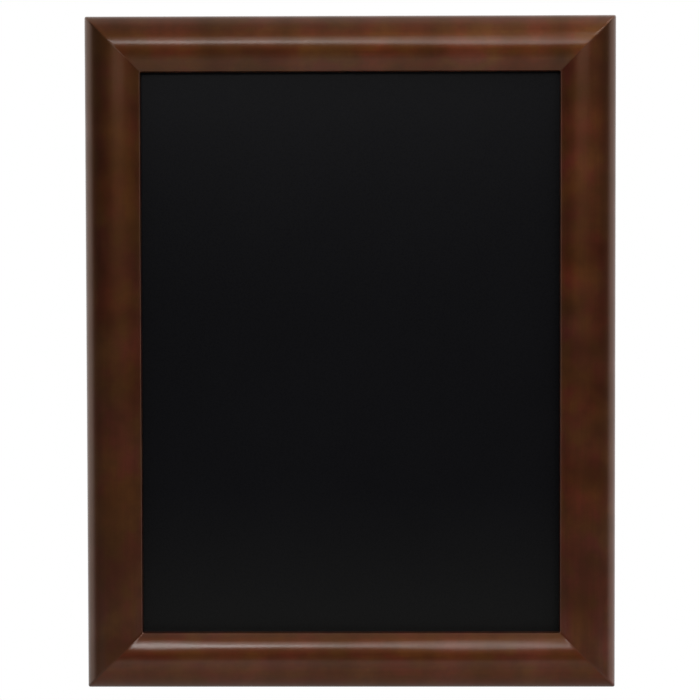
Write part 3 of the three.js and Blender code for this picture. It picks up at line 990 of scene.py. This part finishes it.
# D-ring hangers, with rounder wire and softer sheet than the solids
hanger = {
    "wire": 0.9 * mm,
    "sheet": 0.7 * mm,
    "strapWidth": 9 * mm,
    "strapLength": 19 * mm,
    "fold": 0.1 * mm,
    "neck": 1.2 * mm,
    "wireGap": 0.15 * mm,
    "contact": 0.1 * mm,
    "ringPlay": 1 * mm,
    "ringHeight": 10 * mm,
    "ringCorner": 1.5 * mm,
    "butt": 0.3 * mm,
    "buttRounding": 0.15 * mm,
    "ringSides": 24,
    "screwInset": 11 * mm,
    "holeGap": 0.2 * mm,
    "holeSides": 48,
    "holeReach": (-2 * mm, 8 * mm),
    "plateReach": (-1 * mm, 8 * mm),
    "edge": 0.1 * mm,
}
screw = {
    "headRadius": 3 * mm,
    "headHeight": 1.7 * mm,
    "headRim": 0.18 * mm,
    "shank": 1.5 * mm,
    "core": 1.1 * mm,
    "length": 12 * mm,
    "point": 3 * mm,
    "pointRounding": (0.35, 0.4),
    "shoulder": (-2 * mm, -1.6 * mm),
    "sides": 64,
    "edge": 0.05 * mm,
    "pitch": 1.1 * mm,
    "thread": {"steps": 24, "runOut": 12, "half": 0.28 * mm, "start": 0.9, "root": 0.95, "crest": 0.99},
    "recessRise": 0.3 * mm,
    "recessTop": (3.0 * mm, 0.75 * mm),
    "recessBottom": (0.9 * mm, 0.45 * mm),
    "recessDepth": 1.1 * mm,
    "recessTurn": {"left": 0.4, "right": -0.25},
}


def ringPath(shape):
    half = shape["strapWidth"] / 2 + shape["ringPlay"] + shape["wire"]
    arch, corner, butt = shape["ringHeight"] - half, shape["ringCorner"], shape["butt"] / 2
    inner = half - corner
    path = [(butt + (inner - butt) * i / 8, 0) for i in range(8)]
    path += arc(inner, corner, corner, corner, -quarter, 0, 12)
    path += [(half, corner + (arch - corner) * i / 4) for i in range(1, 4)]
    path += arc(0, arch, half, half, 0, math.pi, 72)
    path += [(-half, arch - (arch - corner) * i / 4) for i in range(1, 4)]
    path += arc(-inner, corner, corner, corner, 2 * quarter, 3 * quarter, 12)
    return path + [(-inner + (inner - butt) * i / 8, 0) for i in range(1, 9)]


def wireMesh(path, radius, sides, name):
    shape = bmesh.new()
    rings = []
    last = len(path) - 1
    for i, (x, z) in enumerate(path):
        before, after = Vector(path[max(i - 1, 0)]), Vector(path[min(i + 1, last)])
        along = (after - before).normalized()
        size = radius - (hanger["buttRounding"] if i in (0, last) else 0)
        ring = []
        for k in range(sides):
            out, side = size * math.cos(2 * math.pi * k / sides), size * math.sin(2 * math.pi * k / sides)
            ring.append(shape.verts.new((x - along.y * out, side, z + along.x * out)))
        rings.append(ring)
    for a, b in zip(rings, rings[1:]):
        for k in range(sides):
            j = (k + 1) % sides
            shape.faces.new((a[k], a[j], b[j], b[k]))
    shape.faces.new(rings[0])
    shape.faces.new(list(reversed(rings[-1])))
    return meshOf(shape, name)


def strapOutline(shape):
    # the folded sheet from the side: (height up the wall, distance out from the wood)
    sheet, neck, far = shape["sheet"], shape["neck"], -shape["strapLength"]
    loop = shape["wire"] + shape["wireGap"] + sheet / 2
    lower = shape["contact"] + sheet / 2
    bar, upper = lower + loop, lower + sheet + shape["fold"]
    neckOut = upper + neck
    neckUp = -math.sqrt((loop + neck) ** 2 - (neckOut - bar) ** 2)
    meet = math.atan2(neckOut - bar, neckUp)
    line = [(far, lower), (far / 2, lower)]
    line += arc(0, bar, loop, loop, -quarter, meet, 40)
    line += arc(neckUp, neckOut, neck, neck, meet - math.pi, -quarter, 16)[1:]
    line += [(far / 2, upper), (far, upper)]
    faces = []
    for half in (sheet / 2, -sheet / 2):
        face = []
        for i, (a, b) in enumerate(line):
            before, after = Vector(line[max(i - 1, 0)]), Vector(line[min(i + 1, len(line) - 1)])
            along = (after - before).normalized()
            face.append((a - along.y * half, b + along.x * half))
        faces.append(face)
    return faces[0] + faces[1][::-1], bar, upper


def makeStrap(side, place):
    outline, bar, upper = strapOutline(hanger)
    half = hanger["strapWidth"] / 2
    piece = looseObject(side + "_strap", prism(outline, (2, 1, 0), -half, half, side + "_strap"))
    top = hanger["wire"] + hanger["wireGap"] + 2 * hanger["sheet"]
    plate = arc(0, half - hanger["strapLength"], half, half, 2 * quarter, 4 * quarter, 40)
    plate += [(half, top), (-half, top)]
    cut(piece, looseObject("plate", prism(plate, (0, 2, 1), *hanger["plateReach"], "plate")), "INTERSECT")
    radius = screw["shank"] + hanger["holeGap"]
    low, high = hanger["holeReach"]
    hole = meshOf(lathe([(0, low), (radius, low), (radius, high), (0, high)], hanger["holeSides"]), "hole")
    hole.transform(Matrix.Translation((0, 0, -hanger["screwInset"])))
    cut(piece, looseObject("hole", hole))
    softenEdges(piece, hanger["edge"])
    keepResult(piece)
    finishPiece(piece, [zincFinish], "frame", side + "_hanger_strap", place)
    return bar, upper


def makeRing(side, place):
    name = side + "_ring_wire"
    piece = looseObject(name, wireMesh(ringPath(hanger), hanger["wire"], hanger["ringSides"], name))
    finishPiece(piece, [zincFinish], side + "_ring", side + "_hanger_ring", place)


def addThread(shape, size):
    # a helical ridge round the core, from the point to the shoulder, run out at both ends
    thread = size["thread"]
    steps, runOut, half = thread["steps"], thread["runOut"], thread["half"]
    start, end = -size["length"] + size["point"] * thread["start"], size["shoulder"][0]
    count = int((end - start) / size["pitch"] * steps)
    root, crest = size["core"] * thread["root"], size["shank"] * thread["crest"]
    previous = None
    for i in range(count + 1):
        angle = 2 * math.pi * i / steps
        y = start + (end - start) * i / count
        tip = root + (crest - root) * min(1, i / runOut, (count - i) / runOut)
        ring = []
        for radius, shift in ((root, -half), (tip, 0), (root, half)):
            ring.append(shape.verts.new((radius * math.cos(angle), y + shift, radius * math.sin(angle))))
        if previous:
            for k in range(3):
                j = (k + 1) % 3
                shape.faces.new((previous[k], previous[j], ring[j], ring[k]))
        else:
            shape.faces.new(ring)
        previous = ring
    shape.faces.new(previous[::-1])


def recessCutter(size, turn):
    shape = bmesh.new()
    bmesh.ops.create_cube(shape, size=1.0)
    for vertex in shape.verts:
        length, width = size["recessBottom"] if vertex.co.y < 0 else size["recessTop"]
        y = size["headHeight"] + (-size["recessDepth"] if vertex.co.y < 0 else size["recessRise"])
        vertex.co = Vector((vertex.co.x * length, y, vertex.co.z * width))
    bmesh.ops.rotate(shape, verts=shape.verts, cent=(0, 0, 0), matrix=Matrix.Rotation(turn, 3, "Y"))
    return looseObject("recess", meshOf(shape, "recess"))


def makeScrew(side, place):
    head, height, rim = screw["headRadius"], screw["headHeight"], screw["headRim"]
    core, shank, point, tip = screw["core"], screw["shank"], screw["point"], -screw["length"]
    (out, up), (lower, upper) = screw["pointRounding"], screw["shoulder"]
    profile = [(0, tip), (core * out, tip + point * up), (core, tip + point)]
    profile += [(core, lower), (shank, upper), (shank, 0), (head - rim, 0)]
    profile += arc(head - rim, rim, rim, rim, -quarter, 0, 4)[1:]
    profile += arc(0, rim, head, height - rim, 0, quarter, 14)[1:]
    piece = looseObject(side + "_screw", meshOf(lathe(profile, screw["sides"]), side + "_screw"))
    for turn in (0, quarter):
        cut(piece, recessCutter(screw, turn + screw["recessTurn"][side]))
    softenEdges(piece, screw["edge"])
    keepResult(piece)
    shape = bmesh.new()
    shape.from_mesh(piece.data)
    addThread(shape, screw)
    bmesh.ops.recalc_face_normals(shape, faces=shape.faces)
    shape.to_mesh(piece.data)
    shape.free()
    finishPiece(piece, [zincFinish], "frame", side + "_hanger_screw", place)


for hangerSide in ("left", "right"):
    ringLow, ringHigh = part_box(hangerSide + "_hanger_ring")
    barX, barZ = (ringLow.x + ringHigh.x) / 2, ringLow.z + hanger["wire"]
    barOut, upperOut = makeStrap(hangerSide, (barX, board["backY"], barZ))
    makeRing(hangerSide, (barX, board["backY"] + barOut, barZ))
    seat = upperOut + hanger["sheet"] / 2 + hanger["contact"]
    makeScrew(hangerSide, (barX, board["backY"] + seat, barZ - hanger["screwInset"]))
print("hangers made")

# bumpers behind the lower corners, with a slightly dished face, as (share of the radius, share of the dish)
bumper = {
    "edge": 0.8 * mm,
    "foot": 0.25 * mm,
    "dish": 0.15 * mm,
    "dished": [(0.6, 0.5), (0.3, 1), (0, 1)],
    "sides": 64,
}


def makeBumper(side):
    low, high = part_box(side + "_bumper")
    radius, thickness = (high.x - low.x) / 2, high.y - low.y
    edge, foot, dish = bumper["edge"], bumper["foot"], bumper["dish"]
    profile = [(0, 0)] + arc(radius - foot, foot, foot, foot, -quarter, 0, 4)
    profile += arc(radius - edge, thickness - edge, edge, edge, 0, quarter, 8)
    profile += [(radius * out, thickness - dish * deep) for out, deep in bumper["dished"]]
    piece = looseObject(side + "_bumper_pad", meshOf(lathe(profile, bumper["sides"]), side + "_bumper_pad"))
    place = ((low.x + high.x) / 2, low.y, (low.z + high.z) / 2)
    finishPiece(piece, [rubberFinish], "frame", side + "_bumper", place)


for bumperSide in ("left", "right"):
    makeBumper(bumperSide)
print("bumpers made")

# V-nails and retaining points keep their solids, with softened edges
stampedEdge = 0.06 * mm
for nodeName, node in nodes.items():
    if nodeName.startswith(("v_nail", "retaining_point")):
        node.material_slots[0].material = zincFinish
        softenEdges(node, stampedEdge)
print("V-nails and retaining points finished")
